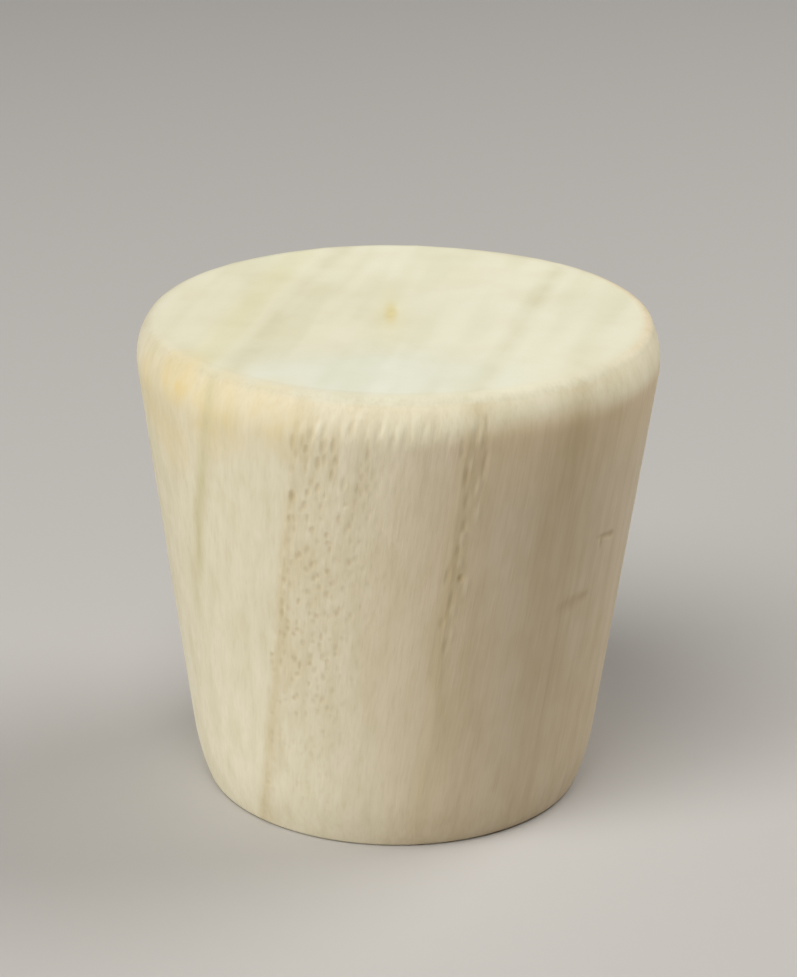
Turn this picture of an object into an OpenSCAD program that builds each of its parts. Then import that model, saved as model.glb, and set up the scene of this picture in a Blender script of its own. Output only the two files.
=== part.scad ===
// Turned wooden stopper: a plain tapered plug with a rounded shoulder and a foot that tucks in.
// Sizes are in millimetres. The origin is at the middle of the base and +Z points up.

/* [Body] */
// Height from the base to the top face
height = 38; // [32:0.5:46]
// Diameter the taper would reach at the top face if the shoulder were not rounded
top_d = 41.2; // [38:0.1:45]
// Diameter the taper would reach at the base if the foot were not tucked in
foot_d = 31; // [27:0.1:34]

/* [Shoulder] */
// Distance below the top face at which the side leaves the taper and starts to bend in
shoulder_h = 3.6; // [2.9:0.1:4.1]
// Radius of the curve along which the shoulder bends in
shoulder_r = 4.5; // [4:0.1:8]
// Radius of the small rounding between the shoulder and the top face
rim_r = 1.4; // [0.5:0.1:2.2]

/* [Foot] */
// Height at which the side leaves the taper and starts to tuck in
tuck_h = 4.6; // [2:0.1:9]
// Radius of the curve along which the side tucks in
tuck_r = 19; // [14:1:60]
// Radius of the small rounding between the tuck and the base
foot_r = 0.4; // [0.3:0.1:1.5]

/* [Hidden] */
$fn = 128;

// Each curve stands this far into the next one, so that the two cross instead of only touching
overlap = 0.001;
// The half section is drawn this far past the faces that trim it
spare = 1;

// Lean of the side from the axis, in degrees, and the direction square to the side
lean = atan((top_d - foot_d) / 2 / height);
side_dir = [cos(lean), -sin(lean)];
// Point of the tapered side at height z
function taper_point(z) = [foot_d / 2 + z * tan(lean), z];
// Centre of a curve of radius r that leaves the tapered side at height z
function bend_centre(z, r) = taper_point(z) - (r - overlap) * side_dir;
// Centre, at height z, of a small rounding that carries on a curve and lies reach from its centre
function round_centre(bend_c, reach, z) = [bend_c.x + sqrt(pow(reach, 2) - pow(bend_c.y - z, 2)), z];

// Height where the shoulder starts, and the centres of its curve and of the small rounding above it
shoulder_z = height - shoulder_h;
shoulder_c = bend_centre(shoulder_z, shoulder_r);
rim_c = round_centre(shoulder_c, shoulder_r - rim_r + overlap, height - rim_r + overlap);
// Centres of the tuck curve and of the small rounding below it
tuck_c = bend_centre(tuck_h, tuck_r);
foot_c = round_centre(tuck_c, tuck_r - foot_r + overlap, foot_r - overlap);

// The straight-sided part of the half section, which runs through the centres of the small roundings
module taper_section() {
    polygon([
        [-spare, -spare],
        [foot_c.x, -spare],
        foot_c,
        taper_point(tuck_h),
        taper_point(shoulder_z),
        rim_c,
        [rim_c.x, height + spare],
        [-spare, height + spare]
    ]);
}

// The part of the half section inside a curve, between its small rounding and the height far_z
module bend_section(bend_c, bend_r, round_c, far_z) {
    round_dir = (round_c - bend_c) / norm(round_c - bend_c);
    bend_end = round_c + bend_r * round_dir;
    intersection() {
        translate(bend_c) circle(bend_r);
        polygon([
            [-spare, round_c.y],
            round_c,
            bend_end,
            [top_d, bend_end.y],
            [top_d, far_z],
            [-spare, far_z]
        ]);
    }
}

// The whole half section, trimmed at the axis, the base and the top face
module half_section() {
    intersection() {
        square([top_d, height]);
        union() {
            taper_section();
            bend_section(shoulder_c, shoulder_r, rim_c, shoulder_z - spare);
            bend_section(tuck_c, tuck_r, foot_c, tuck_h + spare);
            translate(rim_c) circle(rim_r);
            translate(foot_c) circle(foot_r);
        }
    }
}

// The stopper, turned from one piece of pale straight-grained wood
module stopper() {
    color("#d9c9a3") rotate_extrude() half_section();
}

stopper();
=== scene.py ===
import math
import random

import bmesh
import bpy
from mathutils import Matrix, Vector, kdtree, noise


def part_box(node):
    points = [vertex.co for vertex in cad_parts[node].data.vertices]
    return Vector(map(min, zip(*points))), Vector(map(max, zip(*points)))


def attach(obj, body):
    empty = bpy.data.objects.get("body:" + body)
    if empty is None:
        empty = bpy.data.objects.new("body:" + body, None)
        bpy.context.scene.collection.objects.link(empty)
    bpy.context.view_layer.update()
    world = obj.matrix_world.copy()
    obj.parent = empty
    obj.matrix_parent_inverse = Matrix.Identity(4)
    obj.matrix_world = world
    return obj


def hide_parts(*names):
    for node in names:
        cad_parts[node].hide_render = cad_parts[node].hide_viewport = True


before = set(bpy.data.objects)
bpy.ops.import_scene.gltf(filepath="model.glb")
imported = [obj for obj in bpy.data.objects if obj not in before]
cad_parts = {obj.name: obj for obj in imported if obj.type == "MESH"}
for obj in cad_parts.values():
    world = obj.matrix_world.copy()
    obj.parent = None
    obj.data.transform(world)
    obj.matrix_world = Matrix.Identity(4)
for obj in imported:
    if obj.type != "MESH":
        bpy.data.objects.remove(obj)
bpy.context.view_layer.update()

# Turned form of the stopper
# The stopper is one plug of light, pale wood, turned with the grain along its axis and left bare.
# Its half section is drawn like a turner's template, by moving a point along lines and arcs, and
# is then spun about the axis. The sizes are those of the solid.
mm = 0.001
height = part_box("stopper")[1].z
top_radius = 20.6 * mm
base_radius = 15.5 * mm
shoulder_height = height - 3.6 * mm
shoulder_round = 4.5 * mm
rim_round = 1.4 * mm
tuck_height = 4.6 * mm
tuck_round = 19 * mm
foot_round = 0.4 * mm
spokes = 480
flat_tolerance = 0.001 * mm
merge_distance = 0.0001 * mm

lean = math.atan((top_radius - base_radius) / height)
square_to_side = Vector((math.cos(lean), 0, -math.sin(lean)))


def on_taper(z):
    """Point of the straight tapered side at height z."""
    return Vector((base_radius + z * math.tan(lean), 0, z))


def small_centre(bend_centre, reach, z):
    """Centre at height z of the small rounding that carries on from a longer curve."""
    return Vector((bend_centre.x + math.sqrt(reach ** 2 - (z - bend_centre.z) ** 2), 0, z))


shoulder_start = on_taper(shoulder_height)
shoulder_centre = shoulder_start - shoulder_round * square_to_side
rim_centre = small_centre(shoulder_centre, shoulder_round - rim_round, height - rim_round)
rim_rise = math.asin((rim_centre.z - shoulder_centre.z) / (shoulder_round - rim_round))
tuck_centre = on_taper(tuck_height) - tuck_round * square_to_side
foot_centre = small_centre(tuck_centre, tuck_round - foot_round, foot_round)
foot_fall = math.asin((tuck_centre.z - foot_centre.z) / (tuck_round - foot_round))

wood = bmesh.new()


def straight(tip, end, parts):
    """Carry the tip of the template to end along a straight line."""
    step = (end - tip.co) / parts
    for _ in range(parts):
        tip = bmesh.ops.extrude_vert_indiv(wood, verts=[tip])["verts"][0]
        tip.co += step
    return tip


def curve(tip, centre, turn, parts):
    """Carry the tip of the template round an arc about centre."""
    swept = bmesh.ops.spin(wood, geom=[tip], cent=centre, axis=(0, -1, 0), angle=turn, steps=parts)
    return swept["geom_last"][0]


tip = wood.verts.new((0, 0, 0))
tip = straight(tip, Vector((foot_centre.x, 0, 0)), parts=15)
tip = curve(tip, foot_centre, math.pi / 2 - foot_fall, parts=5)
tip = curve(tip, tuck_centre, foot_fall - lean, parts=6)
tip = straight(tip, shoulder_start, parts=30)
tip = curve(tip, shoulder_centre, lean + rim_rise, parts=7)
tip = curve(tip, rim_centre, math.pi / 2 - rim_rise, parts=10)
straight(tip, Vector((0, 0, height)), parts=30)
bmesh.ops.spin(
    wood,
    geom=wood.verts[:] + wood.edges[:],
    cent=(0, 0, 0),
    axis=(0, 0, 1),
    angle=2 * math.pi,
    steps=spokes,
    use_merge=True,
)
bmesh.ops.remove_doubles(wood, verts=wood.verts, dist=merge_distance)


def spoke_of(edge):
    """Number of the spoke that an edge of a flat end lies on, or None for any other edge."""
    first, second = (vert.co for vert in edge.verts)
    if abs(first.z - second.z) > flat_tolerance or min(first.z, height - first.z) > flat_tolerance:
        return None
    if abs(first.xy.length - second.xy.length) < 0.1 * mm:
        return None
    outer = max(first.xy, second.xy, key=lambda flat: flat.length)
    return round(math.atan2(outer.y, outer.x) / (2 * math.pi) * spokes) % spokes


# The spokes crowd together towards the middle of the flat ends, so fewer of them run on there
for reach, kept_every in ((9 * mm, 2), (4.5 * mm, 4), (2.2 * mm, 8)):
    spare_spokes = []
    for edge in wood.edges:
        number = spoke_of(edge)
        inside = max(vert.co.xy.length for vert in edge.verts) < reach
        if number is not None and inside and number % kept_every:
            spare_spokes.append(edge)
    bmesh.ops.dissolve_edges(wood, edges=spare_spokes, use_verts=True)
bmesh.ops.recalc_face_normals(wood, faces=wood.faces)

# Growth rings and open pores
# The rings cross the plug as nearly flat layers, and the grain leans a few degrees from the axis.
# Each ring starts with a band of open pores, which the lathe cut into dots and short slanting grooves.
ring_turn = math.radians(-12.1)
grain_lean = math.radians(7.2)
wood_axes = Matrix.Rotation(ring_turn, 3, "Z") @ Matrix.Rotation(grain_lean, 3, "Y")
to_wood = wood_axes.transposed()
grain = wood_axes.col[2]


def smooth_step(value, low, high):
    """0 below low, 1 above high and a smooth rise between."""
    share = min(max((value - low) / (high - low), 0), 1)
    return share * share * (3 - 2 * share)


def waver(point, across, around, along):
    """Noise from -1 to 1 that changes over these lengths across, around and along the grain."""
    inside = to_wood @ point
    return noise.noise(Vector((inside.x / across, inside.y / around, inside.z / along)))


def ring_place(point):
    """How far across the rings a point lies, with the slow waver that a tree's rings have."""
    slow = 0.5 * mm * waver(point, 30 * mm, 18 * mm, 26 * mm)
    fine = 0.14 * mm * waver(point, 9 * mm, 5 * mm, 12 * mm)
    return (to_wood @ point).x + slow + fine


# Places across the rings and heights between which the wood is porous, front and back alike
porous_zones = (
    (-8.4 * mm, 1.3 * mm, 2 * mm, height),
    (1.3 * mm, 3.6 * mm, 33 * mm, height),
    (3.6 * mm, 6.9 * mm, 12 * mm, height),
    (-12.8 * mm, -8.4 * mm, 21 * mm, 31 * mm),
)
nick_at = Vector((15.75, -9.95, 23.95)) * mm
dent_at = Vector((13.25, -12.3, 19.3)) * mm
pip_at = Vector((-0.68 * mm, -0.08 * mm, height))
mark_reach = 3 * mm
pip_reach = 2.6 * mm


def is_flat_top(face):
    """Whether a face lies in the flat top."""
    return all(vert.co.z > height - flat_tolerance for vert in face.verts)


def is_detailed(face):
    """Whether a face of the side or rim lies where pores or marks are cut."""
    middle = face.calc_center_median()
    if is_flat_top(face):
        return False
    if min((middle - nick_at).length, (middle - dent_at).length) < mark_reach:
        return True
    place = (to_wood @ middle).x
    return any(
        start < place < end and bottom < middle.z < top
        for start, end, bottom, top in porous_zones
    )


def is_level(edge):
    """Whether an edge runs round the plug and not up it."""
    return abs(edge.verts[0].co.z - edge.verts[1].co.z) < 0.01 * mm


def edges_where(chosen, wanted):
    """The edges of the chosen kind of face that are also of the wanted kind, in a fixed order."""
    edges = dict.fromkeys(edge for face in wood.faces if chosen(face) for edge in face.edges)
    return [edge for edge in edges if wanted(edge)]


# Those places are cut finer than the rest, so that pores and marks are real hollows
long_edge = 0.6 * mm
upright = edges_where(is_detailed, lambda edge: not is_level(edge))
long_upright = [edge for edge in upright if edge.calc_length() > long_edge]
short_upright = [edge for edge in upright if edge.calc_length() <= long_edge]
bmesh.ops.subdivide_edges(wood, edges=long_upright, cuts=5, use_grid_fill=True)
bmesh.ops.subdivide_edges(wood, edges=short_upright, cuts=1, use_grid_fill=True)
level_edges = edges_where(is_detailed, is_level)
bmesh.ops.subdivide_edges(wood, edges=level_edges, cuts=1, use_grid_fill=True)
near_pip = [
    edge for edge in edges_where(is_flat_top, is_level)
    if (edge.verts[0].co - pip_at).length < pip_reach
]
bmesh.ops.subdivide_edges(wood, edges=near_pip, cuts=2, use_grid_fill=True)
wood.normal_update()

wood.verts.ensure_lookup_table()
wood.verts.index_update()
surface = kdtree.KDTree(len(wood.verts))
for vert in wood.verts:
    surface.insert(vert.co, vert.index)
surface.balance()
turned_shape = [vert.co.copy() for vert in wood.verts]
turned_normal = [vert.normal.copy() for vert in wood.verts]
sunk = [0.0] * len(turned_shape)
stain = [0.0] * len(turned_shape)


def radius_at(z):
    """Radius of the turned form at height z, above the foot and below the rim."""
    if z > shoulder_height:
        return shoulder_centre.x + math.sqrt(shoulder_round ** 2 - (z - shoulder_centre.z) ** 2)
    return on_taper(z).x


def cut_hollow(middle, run, length, width, depth, tint):
    """Sink a long soft hollow along run into the surface, or raise a ridge, and note its stain."""
    outward = turned_normal[surface.find(middle)[1]]
    along = (run - outward * run.dot(outward)).normalized()
    beside = outward.cross(along)
    for spot, index, _ in surface.find_range(middle, length / 2 + width / 2):
        offset = spot - middle
        share = 1 - (2 * offset.dot(along) / length) ** 2 - (2 * offset.dot(beside) / width) ** 2
        if share > 0:
            sunk[index] = max(sunk[index], depth * share * share, key=abs)
            stain[index] = max(stain[index], tint * share, key=abs)


widest_sine = 0.98


def cut_pore(place, z, behind, length, width, depth, tint, run=grain):
    """Cut one pore along the grain at a place across the rings and a height, if the plug reaches it."""
    radius = radius_at(z)
    sine = (place + z * math.sin(grain_lean)) / (radius * math.cos(grain_lean))
    if abs(sine) < widest_sine:
        turn = ring_turn + (math.pi - math.asin(sine) if behind else math.asin(sine))
        middle = Vector((radius * math.sin(turn), -radius * math.cos(turn), z))
        cut_hollow(middle, run, length, width, depth, tint)


chance = random.Random(23)
highest_pore = height - 1.2 * mm
pore_share = 0.62
pore_depth = 0.05 * mm
pore_ridge = 0.02 * mm
groove_depth = 0.065 * mm
groove_ridge = 0.04 * mm
groove_slant = 0.12


def scatter_pores(start, end, bottom, top, spacing, strength, behind):
    """Scatter pores and paler ridges over a zone, thinning out away from where its ring starts."""
    z = bottom
    while z < top:
        place = start
        while place < end:
            spot = place + chance.uniform(-0.5, 0.5) * spacing
            spot_z = z + chance.uniform(-0.5, 0.5) * spacing
            fade = 1 - 0.75 * smooth_step(spot, start + 0.4 * (end - start), end)
            fade *= 0.55 + 0.45 * smooth_step(spot_z, 5 * mm, 20 * mm)
            force = strength * fade * chance.uniform(0.4, 1)
            stretch = 1 + 0.9 * smooth_step(spot_z, 27 * mm, 35 * mm)
            length = chance.uniform(0.6, 1.1) * mm * stretch
            width = chance.uniform(0.45, 0.65) * mm
            if spot_z < highest_pore:
                if chance.random() < pore_share:
                    cut_pore(spot, spot_z, behind, length, width, pore_depth * force, 0.8 * force)
                else:
                    cut_pore(spot, spot_z, behind, 1.3 * length, width, -pore_ridge * force, -0.45 * force)
            place += spacing
        z += spacing


def cut_rim_grooves(start, end, strength, behind):
    """Cut the slanting grooves and ridges that porous wood shows where the rim was rounded."""
    slant = grain + Vector((-groove_slant if behind else groove_slant, 0, 0))
    place = start
    while place < end:
        force = strength * chance.uniform(0.35, 1)
        length = chance.uniform(1.4, 2.8) * mm
        low = chance.uniform(34.6, 35.8) * mm
        cut_pore(place, low, behind, length, 0.7 * mm, groove_depth * force, 0.5 * force, slant)
        place += chance.uniform(0.3, 0.6) * mm
        high = chance.uniform(35.6, 36.6) * mm
        cut_pore(place, high, behind, length, 0.8 * mm, -groove_ridge * force, -0.8 * force, slant)
        place += chance.uniform(0.3, 0.7) * mm


def line_right_ring(behind):
    """Cut long pores, with ridges between them, up the start of the ring on the right."""
    for z in range(18, 36, 2):
        spot = chance.uniform(4.2, 5.2) * mm
        cut_pore(spot, z * mm, behind, chance.uniform(1.2, 2.6) * mm, 0.6 * mm, 0.04 * mm, 0.4)
        spot = chance.uniform(4.8, 6) * mm
        cut_pore(spot, (z + 1) * mm, behind, chance.uniform(1.2, 2.6) * mm, 0.6 * mm, -0.03 * mm, -0.4)


for behind in (False, True):
    scatter_pores(-7.4 * mm, 0.8 * mm, 4 * mm, 35 * mm, spacing=0.7 * mm, strength=1, behind=behind)
    scatter_pores(-12.4 * mm, -8.6 * mm, 22 * mm, 30 * mm, spacing=1.3 * mm, strength=0.35, behind=behind)
    cut_rim_grooves(-7.5 * mm, 0.6 * mm, strength=1, behind=behind)
    cut_rim_grooves(0.6 * mm, 6.4 * mm, strength=0.55, behind=behind)
    line_right_ring(behind)

# The strongest pores, in millimetres: place across the rings, height, length, width, depth and tint
for place, z, length, width, depth, tint in (
    (-7.3, 29.9, 1.5, 0.75, 0.08, 1),
    (5.9, 33, 3.2, 0.5, 0.05, 0.6),
    (5.6, 36.1, 1.8, 0.5, 0.05, 0.5),
    (5.4, 23.7, 1.0, 0.5, 0.07, 0.9),
):
    cut_pore(place * mm, z * mm, False, length * mm, width * mm, depth * mm, tint)

# Hand-worn surface
# Sanding and drying left the side a little uneven, with the hard line of each ring standing proud.
# A nick and a slanting dent mark the right of the side, and the lathe's centre left a pip on top.
# The rim was rounded by hand and is fuller at the right than elsewhere.
nick_run = Vector((0.52, 0.83, -0.19))
nick_dot = nick_at + nick_run * 0.8 * mm
nick_leg = nick_at - nick_run * 0.6 * mm - grain * 0.4 * mm
dent_run = Vector((0.62, 0.78, 0.1))
dent_end = dent_at + Vector((0.8, 1.0, 0.15)) * mm
dent_end_run = Vector((0.62, 0.78, 0.2))
pip_run = Vector((0.21, 0.98, 0))
pip_tail = pip_at + pip_run * 1.1 * mm

# Each mark's middle and direction, then its length, width and depth in millimetres, and its tint
for middle, run, length, width, depth, tint in (
    (nick_at, nick_run, 4, 0.7, 0.09, 0.75),
    (nick_dot, nick_run, 1.6, 0.8, 0.12, 0.9),
    (nick_leg, grain, 1.5, 0.6, 0.08, 0.7),
    (dent_at, dent_run, 5, 1.9, 0.07, 0.6),
    (dent_end, dent_end_run, 2.2, 1.2, 0.09, 0.7),
    (pip_at, pip_run, 2.2, 0.9, 0.1, 0.15),
    (pip_tail, pip_run, 3.2, 0.9, 0.05, 0.2),
):
    cut_hollow(middle, run, length * mm, width * mm, depth * mm, tint)

ring_ends = (-20.8 * mm, -14.5 * mm, -7.5 * mm, 4.6 * mm, 11.1 * mm, 17.4 * mm)
ring_end_rise = 0.02 * mm
ring_end_half_width = 0.7 * mm
slow_unevenness = 0.05 * mm
fine_unevenness = 0.015 * mm
rim_fullness = 0.25 * mm


def fuller_rim(point, outward):
    """How far the rim stands out at a point, most at the right and half-way round its curve."""
    tilt = outward.angle(Vector((0, 0, 1)))
    turn = math.atan2(point.x, -point.y)
    right = smooth_step(turn, math.radians(40), math.radians(100))
    right *= 1 - smooth_step(turn, math.radians(125), math.radians(175))
    return rim_fullness * right * math.sin(min(tilt / math.radians(80), 1) * math.pi) ** 2


ring_mark = wood.verts.layers.float.new("ring")
stain_mark = wood.verts.layers.float.new("stain")
for vert in wood.verts:
    point = turned_shape[vert.index]
    outward = turned_normal[vert.index]
    place = ring_place(point)
    vert[ring_mark] = place
    vert[stain_mark] = stain[vert.index]
    lift = slow_unevenness * waver(point, 11 * mm, 11 * mm, 30 * mm)
    lift += fine_unevenness * waver(point, 2.2 * mm, 2.2 * mm, 20 * mm)
    for ring_end in ring_ends:
        lift += ring_end_rise * max(0, 1 - abs(place - ring_end) / ring_end_half_width) ** 2
    lift -= sunk[vert.index]
    if point.z > shoulder_height:
        lift += fuller_rim(point, outward)
    above_base = smooth_step(point.z, 0.3 * mm, 2 * mm)
    vert.co = point + outward * lift * above_base

for face in wood.faces:
    face.smooth = True
stopper_mesh = bpy.data.meshes.new("turned_stopper")
wood.to_mesh(stopper_mesh)
wood.free()
stopper = bpy.data.objects.new("turned_stopper", stopper_mesh)
bpy.context.scene.collection.objects.link(stopper)
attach(stopper, "root")
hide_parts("stopper")

# Bare wood finish
# Cream wood with faint tan rings, fine fibres and darker pores, and no oil or varnish on it. The ends
# are paler and cooler, the coolness partly painted cool light from above. The rim's pale band is partly
# paler end grain and partly a painted highlight, brightest at the right, and handling has stained the
# rim's left honey-coloured. The side has painted warm bounce light on its right and a painted lit tint
# low on its left, and the edge round the flat top has painted shade.
pale_wood = bpy.data.materials.new("pale_wood")
pale_wood.use_nodes = True
nodes = pale_wood.node_tree.nodes
links = pale_wood.node_tree.links
shader = nodes["Principled BSDF"]
coordinates = nodes.new("ShaderNodeTexCoord").outputs["Object"]


def colour(red, green, blue):
    """Linear colour from screen values of 0 to 255."""
    linear = []
    for value in (red, green, blue):
        share = value / 255
        linear.append(share / 12.92 if share <= 0.04045 else ((share + 0.055) / 1.055) ** 2.4)
    return linear + [1]


def feed(socket, value):
    """Link an output to a socket, or set the socket to a plain value."""
    if isinstance(value, bpy.types.NodeSocket):
        links.new(value, socket)
    else:
        socket.default_value = value


def calculate(operation, first, second=0.0):
    """Math node of one or two values."""
    node = nodes.new("ShaderNodeMath")
    node.operation = operation
    feed(node.inputs[0], first)
    feed(node.inputs[1], second)
    return node.outputs[0]


def both(first, second):
    """Product of two shares, high only where both are."""
    return calculate("MULTIPLY", first, second)


def gap_to(centre, stretch=(1, 1, 1)):
    """Distance to a centre from where a point lies once its coordinates are stretched."""
    stretched = nodes.new("ShaderNodeVectorMath")
    stretched.operation = "MULTIPLY"
    links.new(coordinates, stretched.inputs[0])
    stretched.inputs[1].default_value = stretch
    gap = nodes.new("ShaderNodeVectorMath")
    gap.operation = "DISTANCE"
    links.new(stretched.outputs["Vector"], gap.inputs[0])
    gap.inputs[1].default_value = centre
    return gap.outputs["Value"]


def remap(value, low, high, to_low=0.0, to_high=1.0, kind="SMOOTHSTEP"):
    """Step of a value between two limits, smooth unless told, scaled to two others."""
    node = nodes.new("ShaderNodeMapRange")
    node.interpolation_type = kind
    for socket, given in zip(node.inputs[:5], (value, low, high, to_low, to_high)):
        feed(socket, given)
    return node.outputs[0]


def mix(blend, under, share, over):
    """Colour mix node, whose colours go in at its inputs 6 and 7 and come out at its output 2."""
    node = nodes.new("ShaderNodeMix")
    node.data_type = "RGBA"
    node.blend_type = blend
    feed(node.inputs[0], share)
    feed(node.inputs[6], under)
    feed(node.inputs[7], over)
    return node.outputs[2]


def tinge(under, share, over):
    """Carry a colour towards another by a share."""
    return mix("MIX", under, share, over)


def darken(under, share, tint):
    """Darken a colour with a tint by a share."""
    return mix("MULTIPLY", under, share, tint)


def grain_noise(across, around, along, detail):
    """Noise with cells of these sizes across the rings, along the rings and along the grain."""
    turned = nodes.new("ShaderNodeMapping")
    turned.vector_type = "TEXTURE"
    turned.inputs["Rotation"].default_value = (0, grain_lean, ring_turn)
    turned.inputs["Scale"].default_value = (across, around, along)
    links.new(coordinates, turned.inputs["Vector"])
    node = nodes.new("ShaderNodeTexNoise")
    links.new(turned.outputs["Vector"], node.inputs["Vector"])
    node.inputs["Scale"].default_value = 1
    node.inputs["Detail"].default_value = detail
    return node.outputs["Fac"]


def attribute(name):
    """Value that the mesh keeps under a name."""
    node = nodes.new("ShaderNodeAttribute")
    node.attribute_name = name
    return node.outputs["Fac"]


# How the wood varies, from broad clouds down to single fibres
clouds = grain_noise(6 * mm, 6 * mm, 28 * mm, detail=2)
breaks = grain_noise(2.5 * mm, 2.5 * mm, 9 * mm, detail=1)
mottles = grain_noise(2.2 * mm, 17 * mm, 30 * mm, detail=1)
blotches = grain_noise(1.9 * mm, 1.9 * mm, 2.2 * mm, detail=2)
patches = grain_noise(1.6 * mm, 1.6 * mm, 3.5 * mm, detail=2)
streaks = grain_noise(0.9 * mm, 0.9 * mm, 26 * mm, detail=2)
fibres = grain_noise(0.2 * mm, 0.2 * mm, 7 * mm, detail=2)

ring = attribute("ring")
ring_reach = 24
ring_range = remap(ring, -ring_reach * mm, ring_reach * mm, kind="LINEAR")
darker_share = 0.6


def ring_tone(looks, faintest):
    """Tone across the rings: each starts at a broken line and goes on a little darker than it ends."""
    ramp = nodes.new("ShaderNodeValToRGB")
    stops = ramp.color_ramp.elements
    stops.remove(stops[1])
    stops[0].position = 0
    stops[0].color = (0, 0, 0, 1)
    ends = [place for place, _, _, _ in looks[1:]] + [ring_reach]
    for (place, half_width, line, after), end in zip(looks, ends):
        for spot, tone in (
            (place - half_width, 0),
            (place, line),
            (place + half_width, after),
            (place + darker_share * (end - place), 0),
        ):
            stop = stops.new(0.5 + spot / (2 * ring_reach))
            stop.color = (tone, tone, tone, 1)
    links.new(ring_range, ramp.inputs["Fac"])
    return both(ramp.outputs["Color"], remap(breaks, 0.34, 0.62, faintest, 1.2))


# Place of each ring in millimetres, half width of its line, tone of the line and tone after it
side_rings = ring_tone((
    (-20.8, 0.5, 0.3, 0.08),
    (-14.9, 0.85, 0.85, 0.05),
    (-7.5, 0.7, 0.29, 0.11),
    (4.7, 1.1, 0.31, 0.13),
    (11.1, 1.7, 0.2, 0.1),
    (17.4, 0.6, 0.15, 0.05),
), faintest=0.65)
end_rings = ring_tone((
    (-20.8, 1.2, 0.2, 0.05),
    (-13.5, 1.4, 0.4, 0.04),
    (-7.0, 1.2, 0.1, 0.03),
    (4.7, 1.1, 0.45, 0.04),
    (11.1, 1.8, 0.15, 0.05),
    (17.4, 1.2, 0.15, 0.05),
), faintest=0.7)

# Where on the stopper a point lies
split = nodes.new("ShaderNodeSeparateXYZ")
links.new(coordinates, split.inputs[0])
rightward = split.outputs["X"]
backward = split.outputs["Y"]
level = split.outputs["Z"]
radius = gap_to((0, 0, 0), stretch=(1, 1, 0))
on_top = both(remap(radius, 19.5 * mm, 18.3 * mm), remap(level, 36.6 * mm, 37.5 * mm))
on_base = both(remap(radius, 14.9 * mm, 14.2 * mm), remap(level, 0.8 * mm, 0.2 * mm))
on_end = calculate("MAXIMUM", on_top, on_base)
side_share = remap(on_end, 0, 1, 1, 0.15)
sideways = remap(rightward, -10 * mm, 12 * mm)
# Where the side gets a painted lit tint low on the left and painted warm bounce light high on the right
painted_lit_low_left = both(remap(level, 20 * mm, 5 * mm), remap(rightward, 0, -9 * mm))
painted_bounce_high_right = both(remap(level, 28 * mm, 35 * mm), remap(rightward, 2 * mm, 10 * mm))

# The rim's pale band, partly paler end grain and partly painted highlight, fades towards the back and
# starts higher on the right
front_weight = remap(backward, 4 * mm, 13 * mm, 1, 0.35)
band_foot = remap(rightward, 2 * mm, 10 * mm, 34 * mm, 34.8 * mm)
above_foot = remap(calculate("SUBTRACT", level, band_foot), 0, 2 * mm)
on_band = both(both(above_foot, remap(level, 38 * mm, 37.4 * mm)), front_weight)
pale_rim_and_highlight = both(on_band, remap(rightward, -11 * mm, 5 * mm))
on_rim = both(remap(level, 34.5 * mm, 36 * mm), remap(level, 38.1 * mm, 37.3 * mm))
# Painted highlight on the right of the rim
right_rim_highlight = both(both(on_rim, remap(rightward, 12 * mm, 17.5 * mm)), front_weight)

# Colour of the side, with the lines of the rings over it
# Painted warm bounce light: the side warms towards its shaded right, and more so high on the right
side_colour = tinge(colour(225, 217, 191), sideways, colour(231, 214, 186))
# Painted lit tint: paler and greener low on the lit left
side_colour = tinge(side_colour, both(painted_lit_low_left, 0.75), colour(238, 231, 207))
side_colour = tinge(side_colour, painted_bounce_high_right, colour(238, 217, 182))
# The rim's pale band is partly paler end grain and partly a painted highlight, and the right of the rim
# has a painted highlight
side_colour = tinge(side_colour, pale_rim_and_highlight, colour(240, 232, 204))
side_colour = tinge(side_colour, right_rim_highlight, colour(250, 241, 212))
past_left_line = remap(ring, -12 * mm, -10 * mm)
line_colour = tinge(colour(195, 186, 136), past_left_line, colour(194, 171, 114))
left_line_fade = calculate("MAXIMUM", past_left_line, remap(level, 10 * mm, 35 * mm))
before_right_line = remap(ring, 3.4 * mm, 3 * mm)
right_line_fade = calculate("MAXIMUM", before_right_line, remap(level, 4 * mm, 22 * mm, 0.5, 1))
side_lines = both(side_rings, both(left_line_fade, right_line_fade))
side_colour = tinge(side_colour, side_lines, line_colour)

# Colour of the ends: palest at the back, with a painted cool light tint in front, and yellow along one
# ring on the left
end_colour = tinge(colour(226, 221, 195), sideways, colour(229, 226, 202))
at_back = remap(backward, 2 * mm, 14 * mm, 0, 0.8)
end_colour = tinge(end_colour, at_back, colour(233, 230, 205))
# Painted cool light tint on the front of the top, where the lamp high in front falls
cool_light_gap = gap_to((-2 * mm, -14.5 * mm, height), stretch=(0.6, 1, 1))
painted_cool_light = remap(cool_light_gap, 10 * mm, 2 * mm, 0, 0.9)
end_colour = tinge(end_colour, painted_cool_light, colour(225, 226, 208))
yellow_gap = calculate("ABSOLUTE", calculate("ADD", ring, 16.2 * mm))
yellow = remap(yellow_gap, 2.4 * mm, 0.3 * mm, 0, 0.45)
end_colour = tinge(end_colour, yellow, colour(229, 223, 186))
end_colour = tinge(end_colour, both(end_rings, 0.5), colour(196, 186, 142))

# The side and the ends together, with painted shade on the edge round the flat top, strongest on the left
body = tinge(side_colour, on_end, end_colour)
shaded_flat_edge = both(remap(radius, 17.9 * mm, 18.8 * mm), remap(level, 37.2 * mm, 37.7 * mm))
shaded_flat_edge = both(shaded_flat_edge, remap(rightward, -17 * mm, -7 * mm, 0.35, 0.9))
shaded_flat_edge = both(shaded_flat_edge, remap(rightward, 18 * mm, 14 * mm, 0.3, 1))
edge_shade_colour = tinge(colour(212, 207, 184), sideways, colour(224, 219, 194))
body = tinge(body, shaded_flat_edge, edge_shade_colour)

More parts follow.
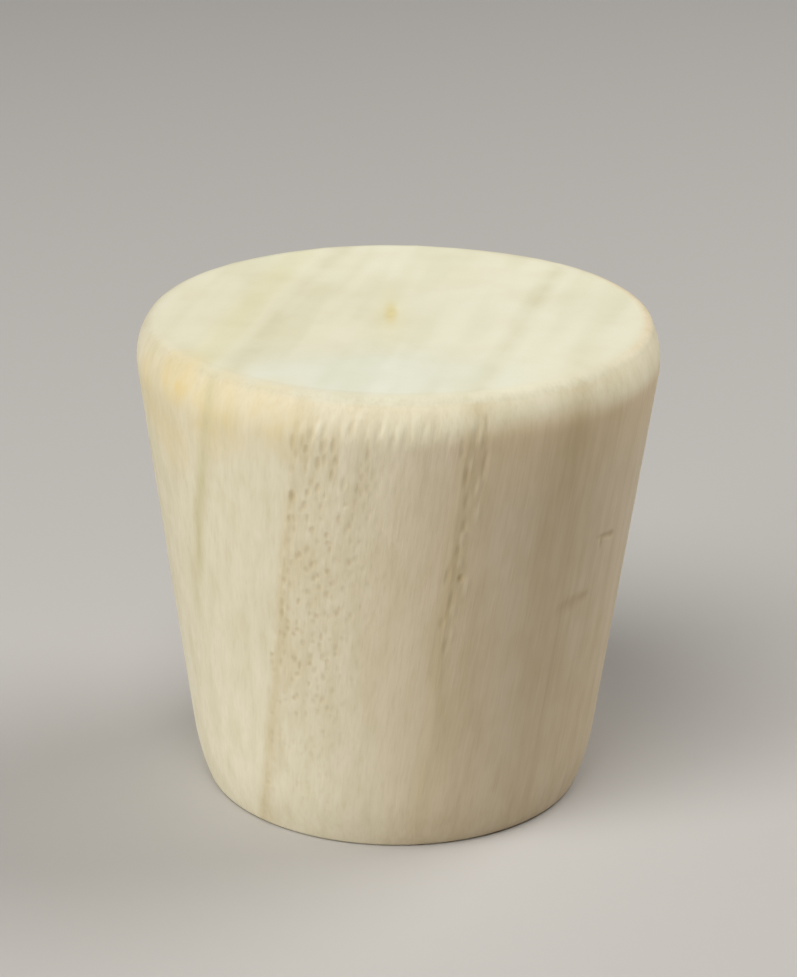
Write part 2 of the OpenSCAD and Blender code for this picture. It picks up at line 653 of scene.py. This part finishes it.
# Darker places in the wood, each with the noise, its limits, the strength, where it shows and the tint
for tone, low, high, strength, where, tint in (
    (clouds, 0.35, 0.75, 0.5, 1.0, colour(246, 241, 232)),
    (mottles, 0.35, 0.68, 0.5, on_end, colour(243, 243, 235)),
    (patches, 0.36, 0.66, 0.4, side_share, colour(243, 242, 231)),
    (streaks, 0.35, 0.8, 0.34, side_share, colour(234, 228, 213)),
    (fibres, 0.4, 0.8, 0.22, side_share, colour(232, 222, 204)),
):
    body = darken(body, both(remap(tone, low, high, 0, strength), where), tint)

# Honey-coloured spots, each with its centre and reach in millimetres and its strength
honey = 0.0
for centre, reach, strength in (
    ((-16.4, -11.6, 36.6), 3.8, 0.9),
    ((-18.7, -7, 34.3), 5, 0.55),
    ((-13.4, -14.6, 35), 5, 0.75),
    ((-9, -17.8, 35.8), 4.5, 0.5),
    ((-17.3, -9.5, 32.5), 5.5, 0.5),
):
    gap = gap_to(Vector(centre) * mm)
    honey = calculate("MAXIMUM", honey, remap(gap, reach * mm, 0.4 * mm, 0, strength))
honey = both(honey, remap(blotches, 0.34, 0.66, 0.5, 1.05))
honey = both(honey, remap(side_lines, 0.1, 0.6, 1, 0.4))
body = tinge(body, honey, colour(221, 200, 145))

# The pip on the top has a yellow middle and a fainter halo along the rings
pip_gap = gap_to((-1.1 * mm, 0.1 * mm, height), stretch=(1.8, 0.36, 1))
pip_halo = remap(pip_gap, 3.6 * mm, 0.5 * mm, 0, 0.22)
pip_middle = remap(pip_gap, 1.5 * mm, 0.1 * mm, 0, 0.6)
body = tinge(body, pip_halo, colour(228, 221, 172))
body = tinge(body, pip_middle, colour(216, 198, 132))

# Pores and marks are darker than the wood around them, and ridges are paler
stained = attribute("stain")
body = darken(body, both(remap(stained, 0, 1.2), 0.5), colour(205, 186, 146))
body = tinge(body, remap(stained, 0, -1, 0, 0.55), colour(243, 235, 210))
links.new(body, shader.inputs["Base Color"])

links.new(remap(fibres, 0.3, 0.8, 0.56, 0.7), shader.inputs["Roughness"])
shader.inputs["Specular IOR Level"].default_value = 0.35
raised = nodes.new("ShaderNodeBump")
raised.inputs["Strength"].default_value = 0.4
raised.inputs["Distance"].default_value = 0.03 * mm
links.new(both(fibres, side_share), raised.inputs["Height"])
links.new(raised.outputs["Normal"], shader.inputs["Normal"])
stopper_mesh.materials.append(pale_wood)

# Floor
# A plain pale floor under the stopper, wide enough to fill the picture. It is one flat square with
# a dull, even paint.
floor_form = bmesh.new()
bmesh.ops.create_grid(floor_form, x_segments=1, y_segments=1, size=2)
floor_mesh = bpy.data.meshes.new("floor")
floor_form.to_mesh(floor_mesh)
floor_form.free()
floor = bpy.data.objects.new("floor", floor_mesh)
bpy.context.scene.collection.objects.link(floor)
floor_paint = bpy.data.materials.new("floor")
floor_paint.use_nodes = True
floor_shader = floor_paint.node_tree.nodes["Principled BSDF"]
floor_shader.inputs["Base Color"].default_value = (0.5, 0.48, 0.45, 1)
floor_shader.inputs["Roughness"].default_value = 0.8
floor_mesh.materials.append(floor_paint)

# Light
# Three soft lamps: one like a window low on the left, one high in front and one behind on the right,
# with a little even light from all round.


def soft_light(name, turn, rise, distance, width, power):
    """Round soft light aimed at the stopper, turned by degrees from the front towards the right."""
    lamp = bpy.data.lights.new(name, "AREA")
    lamp.shape = "DISK"
    lamp.size = width
    lamp.energy = power
    turn = math.radians(turn)
    rise = math.radians(rise)
    towards = Vector((
        math.sin(turn) * math.cos(rise),
        -math.cos(turn) * math.cos(rise),
        math.sin(rise),
    ))
    holder = bpy.data.objects.new(name, lamp)
    holder.location = towards * distance + Vector((0, 0, height / 2))
    holder.rotation_euler = towards.to_track_quat("Z", "Y").to_euler()
    bpy.context.scene.collection.objects.link(holder)


soft_light("window", turn=-59, rise=18, distance=0.6, width=0.35, power=1.8)
soft_light("above", turn=-28, rise=61, distance=0.7, width=0.45, power=3.2)
soft_light("behind", turn=112, rise=50, distance=0.7, width=0.45, power=2.75)
world = bpy.data.worlds.new("even_light")
world.use_nodes = True
background = world.node_tree.nodes["Background"]
background.inputs["Color"].default_value = (1, 0.87, 0.72, 1)
background.inputs["Strength"].default_value = 0.03
bpy.context.scene.world = world

# Camera
# It looks down on the stopper from in front, as the photograph does, with a slight roll. Its lens is
# given in pixels of the picture and turned into millimetres by the sensor's size.
image_height = 977
lens_in_pixels = 3000
sensor = 36
camera_distance = 235.57 * mm
camera_rise = math.radians(21.22)
camera_roll = math.radians(0.687)
looked_at = Vector((0.143 * mm, 0, 23.655 * mm))
back = Vector((0, -math.cos(camera_rise), math.sin(camera_rise)))
camera_data = bpy.data.cameras.new("camera")
camera_data.sensor_width = sensor
camera_data.lens = lens_in_pixels / image_height * sensor
camera = bpy.data.objects.new("camera", camera_data)
camera.location = looked_at + back * camera_distance
level_view = back.to_track_quat("Z", "Y").to_matrix()
camera.rotation_euler = (level_view @ Matrix.Rotation(camera_roll, 3, "Z")).to_euler()
bpy.context.scene.collection.objects.link(camera)
bpy.context.scene.camera = camera
bpy.context.scene.view_settings.view_transform = "Standard"
